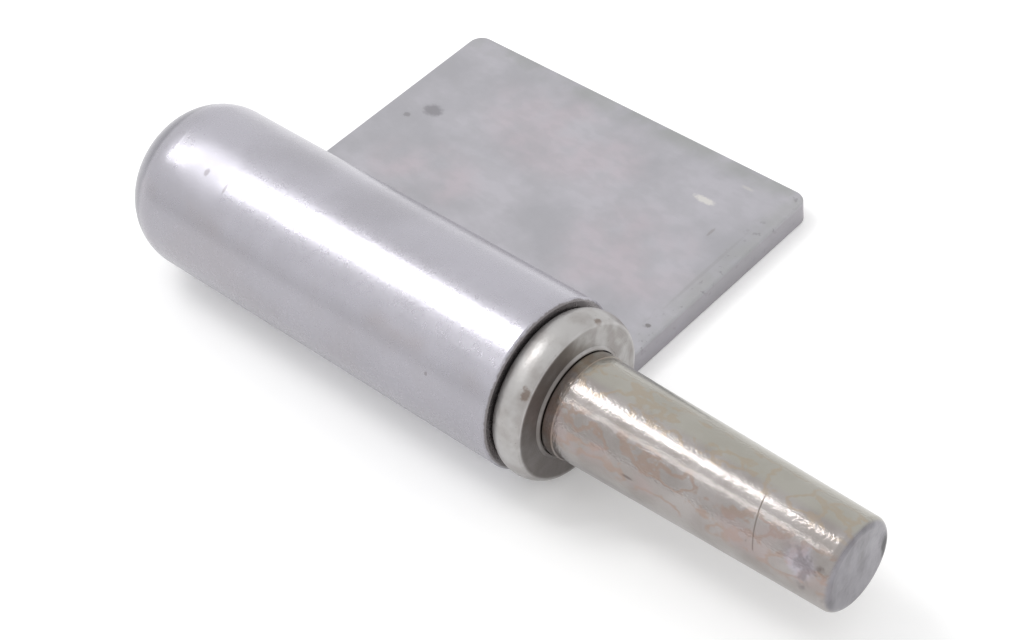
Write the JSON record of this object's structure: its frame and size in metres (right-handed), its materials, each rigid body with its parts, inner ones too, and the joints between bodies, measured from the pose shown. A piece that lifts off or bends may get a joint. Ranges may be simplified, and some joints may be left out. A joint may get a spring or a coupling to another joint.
{
  "type": "weld-on barrel hinge half with pin and leaf",
  "caption": "Half of a lift-off weld-on barrel hinge: domed steel barrel with a tapered pin, a loose thrust washer on the pin, and a flat rectangular leaf welded along the barrel.",
  "frame": {"origin": "on the hinge axis, in the plane of the washer's outer face, where the two halves of the hinge meet", "axes": "+X along the hinge axis, the way the pin points; +Y towards the leaf; +Z away from the face that the leaf is fixed by"},
  "size_m": [0.0975, 0.055, 0.02],
  "materials": {
    "barrel_steel": "satin zinc",
    "pin_steel": "bare turned steel, lightly stained",
    "washer_steel": "bare turned steel",
    "leaf_steel": "matt zinc, mottled",
    "weld_steel": "as welded, brushed"
  },
  "bodies": {
    "hinge_half": {"barrel": "barrel_steel", "pin": "pin_steel", "leaf": "leaf_steel", "top_weld": "weld_steel", "under_weld": "weld_steel"},
    "washer": {"washer": "washer_steel"}
  },
  "joints": [
    {"name": "washer_turn", "type": "hinge", "parent": "hinge_half", "child": "washer", "pos_m": [0, 0, 0], "axis": [1, 0, 0], "continuous": true}
  ]
}
